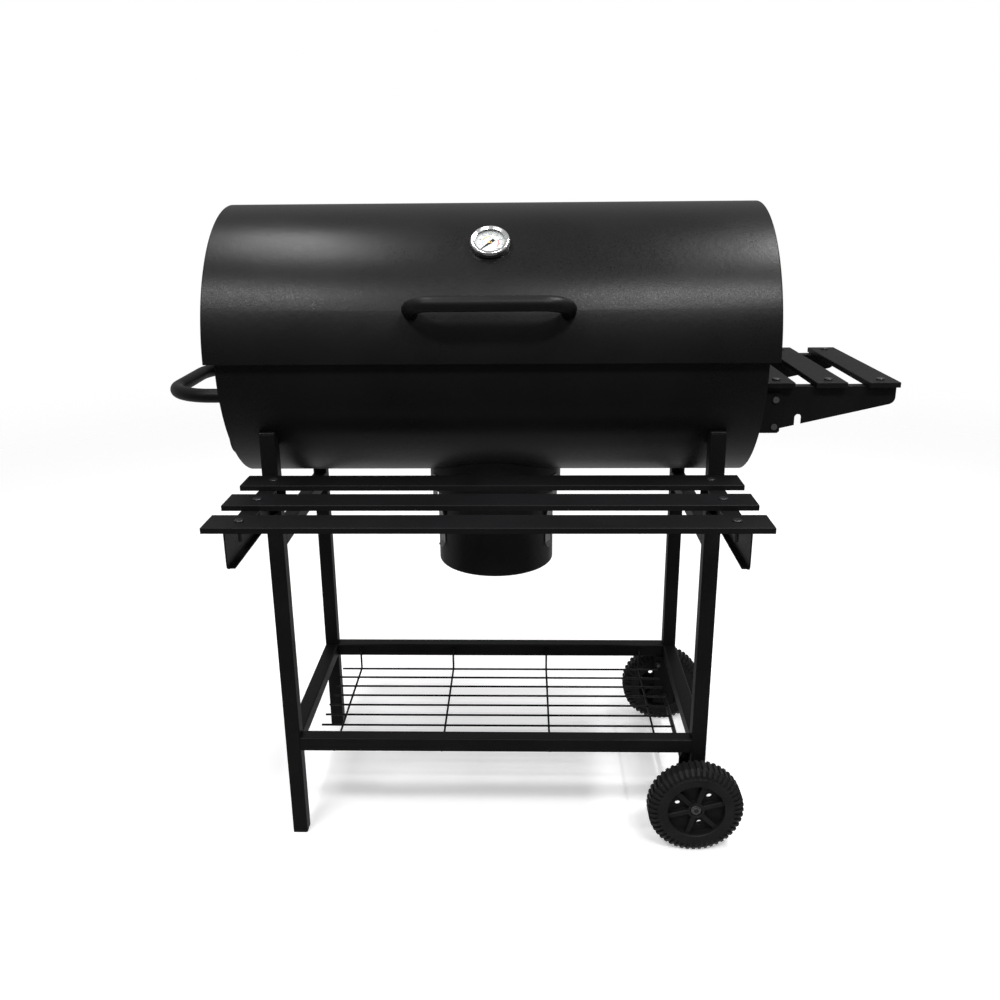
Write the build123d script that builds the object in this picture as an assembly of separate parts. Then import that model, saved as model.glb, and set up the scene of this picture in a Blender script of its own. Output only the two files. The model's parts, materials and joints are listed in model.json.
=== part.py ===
from build123d import *
import math
import os

# Barrel charcoal grill on a four-leg tube frame, in millimetres, +Z up. The front faces -Y.
# Everything is drawn about the middle of the leg frame. Each piece is moved when it is saved,
# so that the finished origin is on the floor under the middle of the whole grill.

# ---- frame ----
TUBE = 25.0                 # square leg and rail tube, outside
TUBE_WALL = 1.5
TUBE_CORNER = 2.5
FRAME_HALF_X = 354.5        # outer face of the legs
FRAME_HALF_Y = 187.0        # front face of the front legs, back face of the rear legs
LEG_TOP = 719.0
CAP_PLATE = 3.0             # visible plate of a plastic tube cap
CAP_PLUG = 14.0             # how far a cap reaches into the tube
CAP_WALL = 2.0
CAP_ROUND = 1.0
RAIL_TOP = 189.0            # top of the four lower rails
BRACE_TOP = 553.5           # top of the two upper side braces
RIGHT_LEG_BOTTOM = 62.0     # the right legs end just below the axle
LEG_X = FRAME_HALF_X - TUBE / 2
LEG_Y = FRAME_HALF_Y - TUBE / 2

# ---- barrel ----
AXIS_Z = 826.0              # height of the barrel's axis
SHEET = 1.5
BOWL_R = 209.0
BOWL_HALF = 404.0
BOWL_RIM_Z = 838.0
LID_R = 221.5
LID_HALF = 417.0
LID_EDGE_Z = 829.0
END_FLANGE = 12.0           # lip of each bowl end that nests inside the shell
LID_FLANGE = 8.0            # the same on the lid
LID_ROUND = 1.2             # outer edge of the lid's ends

# ---- lid hinges ----
HINGE_Y = 227.5
HINGE_Z = 827.0
HINGE_X = 250.0
HINGE_HALF = 25.0
HINGE_SPLIT = 8.5           # half length of the lid's middle knuckle
HINGE_GAP = 0.5
KNUCKLE_R = 5.0
PIN_R = 2.5
RUNNING_FIT = 0.05

# ---- handles ----
GRIP_R = 11.0
GRIP_WALL = 1.5
LID_GRIP_ANGLE = 19.7       # degrees above the barrel's axis
LID_GRIP_REACH = 55.0       # lid surface to the bar's centre line
LID_GRIP_HALF = 113.0
LID_GRIP_BEND = 38.0
SIDE_GRIP_Z = 765.0
SIDE_GRIP_HALF = 130.0
SIDE_GRIP_REACH = 110.0
SIDE_GRIP_BEND = 76.0
GRIP_PLUG = 12.0            # threaded plug welded into each end of a grip

# ---- screws, all M6 ----
SCREW_R = 3.0
SCREW_HOLE_R = 3.2
NUT_ACROSS = 10.0
NUT_H = 5.0
SCREW_HEAD_H = 4.0
PAN_R = 6.5                 # rounded heads of the slat bolts
PAN_H = 2.6
PAN_ROUND = 1.6
FLAT_HEAD_R = 4.8           # heads of the side table's bolts
FLAT_HEAD_H = 3.0

# ---- thermometer ----
DIAL_ANGLE = 48.5           # degrees above the barrel's axis
CASE_R = 28.0
BEZEL_R = 29.2
BEZEL_INNER_R = 22.3
BEZEL_BOTTOM = 4.5
BEZEL_SHOULDER = 6.9
BEZEL_TOP = 10.2
BEZEL_LIP = 8.6
CASE_BORE_R = 25.8
CASE_FLOOR = 2.0
DIAL_R = 25.7
DIAL_T = 0.8
NEEDLE_BOTTOM = 3.4
NEEDLE_T = 0.6
NEEDLE_TIP = 18.5
NEEDLE_TAIL = 8.0
LENS_BOTTOM = 6.6
LENS_T = 1.2
STEM_LENGTH = 62.0
STEM_R = 3.0
THREAD_R = 4.5
THREAD_LENGTH = 9.0
THREAD_HOLE_R = 4.7
PIVOT_R = 0.8               # post that the needle turns on
PIVOT_TOP = 4.6

# ---- ash collar and can ----
COLLAR_R = 112.0
COLLAR_BOTTOM = 585.0
ASH_HOLE_R = 92.0
CAN_R = 99.5
CAN_BOTTOM = 447.0
CAN_TOP = 606.0
CLIP_GAP = 0.3
CLIP_T = 1.2
CLIP_RIVET_Z = 601.0
CLIP_RIVET_R = 2.0
CLIP_TURN = 27.0            # the clips are turned this far round from the X axis
CLIP_HALF_W = 9.0
CAN_T = 1.2
CAN_ROLL = 4.0              # width and half height of the rim rolled inwards

# ---- front shelf ----
SLAT_TOP = 654.0
SLAT_T = 8.0
SLAT_SHEET = 1.2            # slats are folded sheet, open below
SLAT_LIP = 8.0
SLAT_EDGE = 1.2
SLAT_W = 53.0
SLAT_HALF = 372.0
SLAT_PITCH = 92.4
SLAT_FRONT = -431.3
SHELF_BOLT_X = 327.5
SHELF_BOLT_LENGTH = 28.0
BRACKET_X = 344.0           # outer face of a shelf bracket
BRACKET_BOTTOM = 591.0
BRACKET_FRONT = -425.0
PLATE = 2.0                 # sheet of brackets and arms
SHELF_FLANGE = 25.0
BRACKET_HEM = 9.0           # lower flange of a bracket
BRACKET_CORNER = 9.0

# ---- side table ----
TABLE_TOP = 789.0
TABLE_SLAT_W = 47.0
TABLE_PITCH = 78.25
TABLE_FIRST_X = 409.0
TABLE_HALF_Y = 165.0
ARM_Y = 152.0               # outer face of an arm
ARM_END_X = 611.0
ARM_END_Z = 755.0
ARM_CORNER = 11.0
ARM_FLANGE = 18.0
ARM_BOLT_INSET = 10.0       # slat bolts, from the arm's outer face
NOTCH_X = 467.0
NOTCH_R = 5.0
NOTCH_TOP = 733.0
MOUNT_BOTTOM = 709.0
MOUNT_TOP = 772.0
MOUNT_END_X = 440.0

# ---- wheels and axle ----
WHEEL_R = 79.5
WHEEL_W = 39.0
WHEEL_INNER = 192.0         # distance of the wheel's inner face from the middle plane
TREAD_R = 76.5              # between the lugs
LUG_FOOT_R = 63.5
RIM_INNER_R = 47.5
WEB_NEAR = 20.0             # web of the wheel, distances from its inner face
WEB_FAR = 25.0
HUB_R = 14.0
HUB_CUP_R = 10.0            # cup in the hub's end, round the nut
HUB_LENGTH = 32.0
HUB_RIM = 35.5
SPOKE_W = 8.5
SPOKE_FACE = 34.0
WHEEL_HOLE_R = 4.5
WHEEL_HOLE_PITCH_R = 31.0
WASHER_R = 8.5
WASHER_T = 1.5
AXLE_NUT_ACROSS = 13.0
SIDE_PLAY = 0.3             # wheel to washer
AXLE_R = 4.0
AXLE_X = 336.0
AXLE_HALF = 229.0
LUG_COUNT = 48
SPOKES = 6
SPOKE_TILT = 15.0

# ---- axle brackets ----
AXLE_PLATE_W = 40.0
AXLE_PLATE_T = 3.0
AXLE_PLATE_BOTTOM = 60.0
AXLE_BOLT_X = FRAME_HALF_X - 33.5
AXLE_BOLT_Z = 148.0

# ---- wire rack and grates ----
WIRE_R = 1.9
WELD_R = 4.0                # weld button at the end of each cross wire
WELD_T = 2.5
WIRE_SINK = 0.4             # how far crossing wires are welded into each other
WIRE_BEND = 5.0
RACK_Z = 144.5
RACK_HALF_X = 318.0
RACK_PITCH = 35.5
CROSS_WIRES = (-281.0, -94.0, 94.0, 281.0)
RACK_HOOK_Z = 177.0
RACK_HOOK_Y = 151.0
GRATE_Z = 797.0
GRATE_HALF_Y = 190.0
COAL_Z = 700.0
COAL_HALF_Y = 150.0
GRATE_HALF_X = 388.0
GRATE_BAR = 5.0
GRATE_PITCH = 15.0
COAL_PITCH = 24.0

# ---- air damper on the left end ----
DAMPER_R = 38.0
DAMPER_H = 5.0
DAMPER_T = 1.2
PIVOT_RIVET_R = 3.0
DAMPER_ANGLE = 45.0
DAMPER_RADIUS = 165.0
DAMPER_Y = -DAMPER_RADIUS * math.cos(math.radians(DAMPER_ANGLE))
DAMPER_Z = AXIS_Z - DAMPER_RADIUS * math.sin(math.radians(DAMPER_ANGLE))
VENT_R = 9.0
VENT_RING = 22.0
VENTS = 3

# ---- middle of the whole grill, from its outermost pieces ----
LEFT_MOST = -BOWL_HALF - SIDE_GRIP_REACH - GRIP_R
RIGHT_MOST = TABLE_FIRST_X + 2 * TABLE_PITCH + TABLE_SLAT_W
REAR_MOST = HINGE_Y + KNUCKLE_R
MIDDLE_X = (LEFT_MOST + RIGHT_MOST) / 2
MIDDLE_Y = (SLAT_FRONT + REAR_MOST) / 2

os.makedirs("parts", exist_ok=True)


def save(shape, name):
    solids = (Pos(-MIDDLE_X, -MIDDLE_Y, 0) * shape).solids()
    body = solids[0] if len(solids) == 1 else Compound(children=list(solids))
    body.label = name
    export_step(body, "parts/" + name + ".step")


def block(x0, x1, y0, y1, z0, z1):
    centre = Pos((x0 + x1) / 2, (y0 + y1) / 2, (z0 + z1) / 2)
    return centre * Box(x1 - x0, y1 - y0, z1 - z0)


def rod(radius, start, end):
    a = Vector(*start)
    b = Vector(*end)
    plane = Plane(origin=a, z_dir=b - a)
    return extrude(plane * Circle(radius), amount=(b - a).length)


def hexagon(across, start, end):
    a = Vector(*start)
    b = Vector(*end)
    plane = Plane(origin=a, z_dir=b - a)
    return extrude(plane * RegularPolygon(across / 2, 6, major_radius=False), amount=(b - a).length)


def barrel(radius, x0, x1):
    return rod(radius, (x0, 0, AXIS_Z), (x1, 0, AXIS_Z))


def group(shapes):
    return Compound(children=[solid for shape in shapes for solid in shape.solids()])


def square_tube(length):
    outer = RectangleRounded(TUBE, TUBE, TUBE_CORNER)
    inner_size = TUBE - 2 * TUBE_WALL
    inner = RectangleRounded(inner_size, inner_size, TUBE_CORNER - TUBE_WALL)
    return extrude(outer - inner, amount=length)


def tube_cap():
    inner_size = TUBE - 2 * TUBE_WALL
    plate = extrude(RectangleRounded(TUBE, TUBE, TUBE_CORNER), amount=CAP_PLATE)
    plate = fillet(plate.edges().group_by(Axis.Z)[-1], CAP_ROUND)
    plug = extrude(RectangleRounded(inner_size, inner_size, TUBE_CORNER - TUBE_WALL), amount=-CAP_PLUG)
    hollow_size = inner_size - 2 * CAP_WALL
    hollow = Pos(0, 0, -CAP_PLUG) * Box(hollow_size, hollow_size, 2 * (CAP_PLUG - CAP_WALL))
    return plate + plug - hollow


# ---------------------------------------------------------------- frame

def bowl_outside():
    return barrel(BOWL_R, -BOWL_HALF, BOWL_HALF)


def leg(side_x, side_y):
    bottom = CAP_PLATE if side_x < 0 else RIGHT_LEG_BOTTOM
    top = LEG_TOP - CAP_PLATE
    x = side_x * LEG_X
    y = side_y * LEG_Y
    shape = Pos(x, y, bottom) * square_tube(top - bottom)
    shape -= bowl_outside()
    if side_x > 0:
        hole = AXLE_R + RUNNING_FIT
        shape -= rod(hole, (AXLE_X, y - TUBE, WHEEL_R), (AXLE_X, y + TUBE, WHEEL_R))
    return shape


def leg_caps():
    caps = []
    for side_x in (-1, 1):
        for side_y in (-1, 1):
            top = Pos(side_x * LEG_X, side_y * LEG_Y, LEG_TOP - CAP_PLATE) * tube_cap()
            caps.append(top - bowl_outside())
    for side_y in (-1, 1):
        foot = Rot(180, 0, 0) * tube_cap()
        caps.append(Pos(-LEG_X, side_y * LEG_Y, CAP_PLATE) * foot)
    return group(caps)


def long_rail(side_y):
    half = FRAME_HALF_X - TUBE
    tube = Rot(0, 90, 0) * square_tube(2 * half)
    shape = Pos(-half, side_y * LEG_Y, RAIL_TOP - TUBE / 2) * tube
    inner_face = side_y * (FRAME_HALF_Y - TUBE)
    for x in CROSS_WIRES:
        start = (x, inner_face - side_y * 2, RACK_HOOK_Z)
        end = (x, inner_face + side_y * 3, RACK_HOOK_Z)
        shape -= rod(WIRE_R + 0.3, start, end)
    return shape


def side_rail(side_x, top):
    half = FRAME_HALF_Y - TUBE
    tube = Rot(-90, 0, 0) * square_tube(2 * half)
    return Pos(side_x * LEG_X, -half, top - TUBE / 2) * tube


def wire_rack():
    rows = [RACK_PITCH * i for i in range(-4, 5)]
    wires = [rod(WIRE_R, (-RACK_HALF_X, y, RACK_Z), (RACK_HALF_X, y, RACK_Z)) for y in rows]
    low = RACK_Z - 2 * WIRE_R + WIRE_SINK
    tip = FRAME_HALF_Y - TUBE + 1.0
    for x in CROSS_WIRES:
        points = [
            (x, -tip, RACK_HOOK_Z),
            (x, -RACK_HOOK_Y, RACK_HOOK_Z),
            (x, -RACK_HOOK_Y, low),
            (x, RACK_HOOK_Y, low),
            (x, RACK_HOOK_Y, RACK_HOOK_Z),
            (x, tip, RACK_HOOK_Z),
        ]
        path = FilletPolyline(*points, radius=WIRE_BEND)
        profile = Plane(origin=points[0], z_dir=(0, 1, 0)) * Circle(WIRE_R)
        wires.append(sweep(profile, path=path))
        rail = FRAME_HALF_Y - TUBE
        for side in (-1, 1):
            wires.append(rod(WELD_R, (x, side * rail, RACK_HOOK_Z), (x, side * (rail - WELD_T), RACK_HOOK_Z)))
    shape = wires[0]
    for wire in wires[1:]:
        shape += wire
    return shape


# ---------------------------------------------------------------- axle and wheels

def axle():
    return rod(AXLE_R, (AXLE_X, -AXLE_HALF, WHEEL_R), (AXLE_X, AXLE_HALF, WHEEL_R))


def axle_brackets():
    plates = []
    left = FRAME_HALF_X - AXLE_PLATE_W
    top = RAIL_TOP - TUBE
    for side in (-1, 1):
        inner = FRAME_HALF_Y - TUBE
        y0, y1 = sorted((side * inner, side * (inner - AXLE_PLATE_T)))
        plate = block(left, FRAME_HALF_X, y0, y1, AXLE_PLATE_BOTTOM, top)
        flange_y0, flange_y1 = sorted((side * inner, side * (FRAME_HALF_Y - AXLE_PLATE_T)))
        plate += block(left, FRAME_HALF_X - TUBE, flange_y0, flange_y1, top - AXLE_PLATE_T, top)
        plate -= rod(AXLE_R + RUNNING_FIT, (AXLE_X, y0 - 1, WHEEL_R), (AXLE_X, y1 + 1, WHEEL_R))
        plate -= rod(SCREW_HOLE_R, (AXLE_BOLT_X, y0 - 1, AXLE_BOLT_Z), (AXLE_BOLT_X, y1 + 1, AXLE_BOLT_Z))
        plates.append(plate)
    return group(plates)


def axle_bracket_bolts():
    bolts = []
    x = AXLE_BOLT_X
    z = AXLE_BOLT_Z
    for side in (-1, 1):
        outside = FRAME_HALF_Y - TUBE
        bolts.append(
            rod(SCREW_R, (x, side * (outside - 11), z), (x, side * (outside + 1), z))
            + hexagon(NUT_ACROSS, (x, side * outside, z), (x, side * (outside + NUT_H), z))
        )
    return group(bolts)


def hex_nut(start, end):
    return hexagon(NUT_ACROSS, start, end) - rod(SCREW_R, start, end)


def axle_washers():
    rings = []
    outer = WHEEL_INNER + HUB_LENGTH + SIDE_PLAY
    for side in (-1, 1):
        for y0, y1 in ((FRAME_HALF_Y, WHEEL_INNER - SIDE_PLAY), (outer, outer + WASHER_T)):
            ring = rod(WASHER_R, (AXLE_X, side * y0, WHEEL_R), (AXLE_X, side * y1, WHEEL_R))
            rings.append(ring - axle())
    return group(rings)


def axle_nuts():
    nuts = []
    for side in (-1, 1):
        y0 = side * (WHEEL_INNER + HUB_LENGTH + SIDE_PLAY + WASHER_T)
        y1 = side * (AXLE_HALF - 0.6)
        nut = hexagon(AXLE_NUT_ACROSS, (AXLE_X, y0, WHEEL_R), (AXLE_X, y1, WHEEL_R))
        nuts.append(nut - axle())
    return group(nuts)


def lug_ring():
    # radial bars with shoulders that wrap from the tread on to both side faces
    points = []
    step = 360 / LUG_COUNT
    for i in range(LUG_COUNT):
        for radius, share in ((WHEEL_R, -0.24), (WHEEL_R, 0.24), (LUG_FOOT_R, 0.3), (LUG_FOOT_R, 0.7)):
            angle = math.radians((i + share) * step - 90)
            points.append((radius * math.cos(angle), radius * math.sin(angle)))
    bars = extrude(Plane.XZ * make_face(Polyline(*points, close=True)), amount=WHEEL_W)
    envelope = [
        (RIM_INNER_R + 2, -0.5),
        (LUG_FOOT_R + 6, -0.5),
        (WHEEL_R, -7.5),
        (WHEEL_R, 7.5 - WHEEL_W),
        (LUG_FOOT_R + 6, 0.5 - WHEEL_W),
        (RIM_INNER_R + 2, 0.5 - WHEEL_W),
    ]
    return bars & revolve(make_face(Polyline(*envelope, close=True)), Axis.Y)


def wheel():
    # Drawn about the Y axis, with the inner face at y = 0 and the outer face at -WHEEL_W.
    def disc(radius, y0, y1):
        return rod(radius, (0, y0, 0), (0, y1, 0))

    section = [
        (RIM_INNER_R, -1.0),
        (RIM_INNER_R + 1, 0),
        (LUG_FOOT_R - 1.5, 0),
        (LUG_FOOT_R, -2.0),
        (TREAD_R, -7.0),
        (TREAD_R, 7.0 - WHEEL_W),
        (LUG_FOOT_R, 2.0 - WHEEL_W),
        (LUG_FOOT_R - 1.5, -WHEEL_W),
        (RIM_INNER_R + 1, -WHEEL_W),
        (RIM_INNER_R, 1.0 - WHEEL_W),
    ]
    shape = revolve(make_face(Polyline(*section, close=True)), Axis.Y) + lug_ring()
    shape += disc(RIM_INNER_R + 1, -WEB_NEAR, -WEB_FAR)
    shape += disc(HUB_R, 0, -HUB_LENGTH)
    shape += disc(HUB_R, -HUB_LENGTH + 1, -HUB_RIM) - disc(HUB_CUP_R, -HUB_LENGTH, -HUB_RIM - 1)
    for i in range(SPOKES):
        spoke = block(HUB_CUP_R + 1, RIM_INNER_R + 1, -SPOKE_FACE, -WEB_NEAR + 8, -SPOKE_W / 2, SPOKE_W / 2)
        spoke = fillet(spoke.edges().filter_by(Axis.X), 1.5)
        shape += Rot(0, -(SPOKE_TILT + i * 360 / SPOKES), 0) * spoke
    for i in range(0, SPOKES, 2):
        angle = math.radians(SPOKE_TILT + (i + 0.5) * 360 / SPOKES)
        x = WHEEL_HOLE_PITCH_R * math.cos(angle)
        z = WHEEL_HOLE_PITCH_R * math.sin(angle)
        shape -= rod(WHEEL_HOLE_R, (x, -10, z), (x, -30, z))
    return shape - disc(AXLE_R + RUNNING_FIT, 1, -WHEEL_W - 1)


def placed_wheel(shape, side):
    turned = Rot(0, 0, 180) * shape if side > 0 else shape
    return Pos(AXLE_X, side * WHEEL_INNER, WHEEL_R) * turned


# ---------------------------------------------------------------- bowl

def bowl_section(radius):
    lower = Circle(radius)
    lower -= Pos(0, radius) * Rectangle(2 * radius + 2, 2 * radius)
    rim = BOWL_RIM_Z - AXIS_Z
    return lower + Pos(0, rim / 2) * Rectangle(2 * radius, rim)


def along_x(section, x0, x1):
    plane = Plane(origin=(x0, 0, AXIS_Z), x_dir=(0, 1, 0), z_dir=(1, 0, 0))
    return extrude(plane * section, amount=x1 - x0)


def bowl_shell():
    half = BOWL_HALF - SHEET
    shape = along_x(bowl_section(BOWL_R), -half, half)
    shape -= along_x(bowl_section(BOWL_R - SHEET), -half - 1, half + 1)
    # open the rim, because the inner section is as tall as the outer one
    shape -= block(-half - 1, half + 1, -BOWL_R + SHEET, BOWL_R - SHEET, AXIS_Z, BOWL_RIM_Z + 1)
    shape -= rod(ASH_HOLE_R, (0, 0, 500), (0, 0, 700))
    return shape


def bowl_end(side):
    outer = side * BOWL_HALF
    inner = side * (BOWL_HALF - SHEET)
    lip = side * (BOWL_HALF - SHEET - END_FLANGE)
    shape = along_x(bowl_section(BOWL_R), min(outer, inner), max(outer, inner))
    nest = along_x(bowl_section(BOWL_R - SHEET), min(inner, lip), max(inner, lip))
    cut = bowl_section(BOWL_R - 2 * SHEET)
    nest -= along_x(cut, min(inner, lip), max(inner, lip))
    nest -= block(-BOWL_HALF, BOWL_HALF, -BOWL_R + 2 * SHEET, BOWL_R - 2 * SHEET, AXIS_Z, BOWL_RIM_Z + 1)
    shape += nest
    if side < 0:
        for i in range(VENTS):
            y, z = vent_centre(i, 0.5)
            shape -= rod(VENT_R, (outer - 3, y, z), (inner + 3, y, z))
        shape -= rod(PIVOT_RIVET_R, (outer - 3, DAMPER_Y, DAMPER_Z), (inner + 3, DAMPER_Y, DAMPER_Z))
    for y, z in end_bolt_places(side):
        shape -= rod(SCREW_HOLE_R, (outer * 1.01, y, z), (inner * 0.99, y, z))
    return shape


def vent_centre(i, phase):
    angle = math.radians((i + phase) * 360 / VENTS)
    return DAMPER_Y + VENT_RING * math.cos(angle), DAMPER_Z + VENT_RING * math.sin(angle)


def end_bolt_places(side):
    if side < 0:
        return ((-SIDE_GRIP_HALF, SIDE_GRIP_Z), (SIDE_GRIP_HALF, SIDE_GRIP_Z))
    y = ARM_Y - 15
    return tuple((s * y, z) for s in (-1, 1) for z in (MOUNT_BOTTOM + 14, MOUNT_TOP - 14))


def grate_rests():
    # four angle strips along the bowl, two for each grate
    inside = barrel(BOWL_R - SHEET, -GRATE_HALF_X, GRATE_HALF_X)
    strips = []
    for seat, half_y in ((GRATE_Z, GRATE_HALF_Y), (COAL_Z, COAL_HALF_Y)):
        for side in (-1, 1):
            y0, y1 = sorted((side * (half_y - 8), side * BOWL_R))
            shelf = block(-GRATE_HALF_X, GRATE_HALF_X, y0, y1, seat - PLATE, seat)
            strips.append(shelf & inside)
    return group(strips)


def grate(x0, x1, half_y, seat, pitch):
    # a welded grid: a rim and two cross bars on the rests, bars along Y on top
    bar = GRATE_BAR
    shape = block(x0, x1, -half_y, -half_y + bar, seat, seat + bar)
    shape += block(x0, x1, half_y - bar, half_y, seat, seat + bar)
    shape += block(x0, x0 + bar, -half_y, half_y, seat, seat + bar)
    shape += block(x1 - bar, x1, -half_y, half_y, seat, seat + bar)
    for y in (-half_y / 3, half_y / 3):
        shape += block(x0, x1, y - bar / 2, y + bar / 2, seat, seat + bar)
    count = round((x1 - x0) / pitch)
    step = (x1 - x0 - bar) / count
    for i in range(1, count):
        x = x0 + bar / 2 + i * step
        shape += block(x - 2, x + 2, -half_y, half_y, seat + bar - 1.5, seat + bar + 2.5)
    return shape


# ---------------------------------------------------------------- ash collar, clips and can

def ash_collar():
    tube = rod(COLLAR_R, (0, 0, COLLAR_BOTTOM), (0, 0, 700))
    tube -= rod(COLLAR_R - SHEET, (0, 0, COLLAR_BOTTOM - 1), (0, 0, 701))
    for side in (-1, 1):
        hole = rod(CLIP_RIVET_R, (COLLAR_R - 5, 0, CLIP_RIVET_Z), (COLLAR_R + 5, 0, CLIP_RIVET_Z))
        tube -= toward_clip(side) * hole
    return tube - bowl_outside()


def toward_clip(side):
    # turns a piece drawn on the +X side to where the left or right clip is
    return Rot(0, 0, -CLIP_TURN) if side > 0 else Rot(0, 0, 180 + CLIP_TURN)


def ash_can():
    shape = rod(CAN_R, (0, 0, CAN_BOTTOM), (0, 0, CAN_TOP))
    shape = fillet(shape.faces().sort_by(Axis.Z)[0].edges(), 4)
    inner = rod(CAN_R - CAN_T, (0, 0, CAN_BOTTOM + CAN_T), (0, 0, CAN_TOP + 1))
    inner = fillet(inner.faces().sort_by(Axis.Z)[0].edges(), 3)
    shape -= inner
    # the rim is rolled inwards, so the can slides down between the clips
    rim = rod(CAN_R, (0, 0, CAN_TOP - CAN_ROLL), (0, 0, CAN_TOP))
    rim -= rod(CAN_R - CAN_ROLL, (0, 0, CAN_TOP - CAN_ROLL - 1), (0, 0, CAN_TOP + 1))
    return shape + rim


def ash_clip(side):
    # a bent spring strip: riveted outside the collar, stepping in to press on the can's side
    top = COLLAR_BOTTOM + 28
    points = [
        (COLLAR_R + 0.1, top),
        (COLLAR_R + 0.1, COLLAR_BOTTOM - 8),
        (CAN_R + 3.0, 545),
        (CAN_R + CLIP_GAP, 520),
        (CAN_R + CLIP_GAP, 492),
        (CAN_R + 5, 484),
    ]
    outer = [(x + CLIP_T, z) for x, z in reversed(points)]
    face = make_face(Plane.XZ * Polyline(*points, *outer, close=True))
    strip = extrude(face, amount=CLIP_HALF_W, both=True)
    strip -= rod(COLLAR_R, (0, 0, COLLAR_BOTTOM), (0, 0, 700))
    strip -= rod(CLIP_RIVET_R, (COLLAR_R - 5, 0, CLIP_RIVET_Z), (COLLAR_R + 5, 0, CLIP_RIVET_Z))
    return toward_clip(side) * strip


def ash_clip_rivets():
    rivets = []
    z = CLIP_RIVET_Z
    inside = COLLAR_R - SHEET - 0.1
    outside = COLLAR_R + 0.1 + CLIP_T
    for side in (-1, 1):
        rivet = (
            rod(CLIP_RIVET_R - 0.1, (inside, 0, z), (outside, 0, z))
            + rod(4, (outside, 0, z), (outside + 2, 0, z))
            + rod(3.5, (inside, 0, z), (inside - 1.5, 0, z))
        )
        rivets.append(toward_clip(side) * rivet)
    return group(rivets)


# ---------------------------------------------------------------- front shelf

def slat_front(i):
    return SLAT_FRONT + i * SLAT_PITCH


def slat(length, width, bolt_places):
    # a folded sheet tray along X, open below between two lips, with its top at z = 0
    half = length / 2
    side = width / 2
    shape = block(-half, half, -side, side, -SLAT_T, 0)
    rounded = shape.edges().filter_by(Axis.Z) + shape.edges().group_by(Axis.Z)[-1]
    shape = fillet(rounded, SLAT_EDGE)
    end = half - SLAT_SHEET
    wall = side - SLAT_SHEET
    gap = side - SLAT_LIP
    shape -= block(-end, end, -wall, wall, SLAT_SHEET - SLAT_T, -SLAT_SHEET)
    shape -= block(-end, end, -gap, gap, -SLAT_T - 1, -SLAT_T / 2)
    for x in bolt_places:
        shape -= rod(SCREW_HOLE_R, (x, 0, -SLAT_T), (x, 0, 1))
    return shape


def shelf_slat(i):
    shape = slat(2 * SLAT_HALF, SLAT_W, (-SHELF_BOLT_X, SHELF_BOLT_X))
    return Pos(0, slat_front(i) + SLAT_W / 2, SLAT_TOP) * shape


def shelf_bracket(side):
    top = SLAT_TOP - SLAT_T
    back = -FRAME_HALF_Y
    x_out = side * BRACKET_X
    x_web = side * (BRACKET_X - PLATE)
    x_in = side * (BRACKET_X - SHELF_FLANGE)
    web = block(min(x_out, x_web), max(x_out, x_web), BRACKET_FRONT, back, BRACKET_BOTTOM, top)
    corner = web.edges().filter_by(Axis.X).group_by(Axis.Z)[0].sort_by(Axis.Y)[0]
    web = fillet(corner, BRACKET_CORNER)
    x_hem = side * (BRACKET_X - BRACKET_HEM)
    hem_front = BRACKET_FRONT + BRACKET_CORNER
    hem = block(min(x_web, x_hem), max(x_web, x_hem), hem_front, back, BRACKET_BOTTOM, BRACKET_BOTTOM + PLATE)
    shelf = block(min(x_web, x_in), max(x_web, x_in), BRACKET_FRONT, back, top - PLATE, top)
    rear = block(min(x_web, x_in), max(x_web, x_in), back - PLATE, back, BRACKET_BOTTOM + 4, top - PLATE)
    shape = web + hem + shelf + rear
    for i in range(3):
        y = slat_front(i) + SLAT_W / 2
        shape -= rod(SCREW_HOLE_R, (side * SHELF_BOLT_X, y, top - PLATE - 1), (side * SHELF_BOLT_X, y, top + 1))
    return shape


def pan_bolt(x, y, top, bottom):
    head = rod(PAN_R, (x, y, top), (x, y, top + PAN_H))
    head = fillet(head.faces().sort_by(Axis.Z)[-1].edges(), PAN_ROUND)
    return head + rod(SCREW_R, (x, y, bottom), (x, y, top + 0.5))


def shelf_bolt_places():
    return [(x, slat_front(i) + SLAT_W / 2) for i in range(3) for x in (-SHELF_BOLT_X, SHELF_BOLT_X)]


def shelf_bolts():
    return group([pan_bolt(x, y, SLAT_TOP, SLAT_TOP - SHELF_BOLT_LENGTH) for x, y in shelf_bolt_places()])


def hex_nuts():
    # six under the shelf brackets and two inside the axle brackets
    under = SLAT_TOP - SLAT_T - PLATE
    nuts = [hex_nut((x, y, under - NUT_H), (x, y, under)) for x, y in shelf_bolt_places()]
    for side in (-1, 1):
        face = FRAME_HALF_Y - TUBE - AXLE_PLATE_T
        start = (AXLE_BOLT_X, side * face, AXLE_BOLT_Z)
        end = (AXLE_BOLT_X, side * (face - NUT_H), AXLE_BOLT_Z)
        nuts.append(hex_nut(start, end))
    return group(nuts)


# ---------------------------------------------------------------- side table

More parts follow.
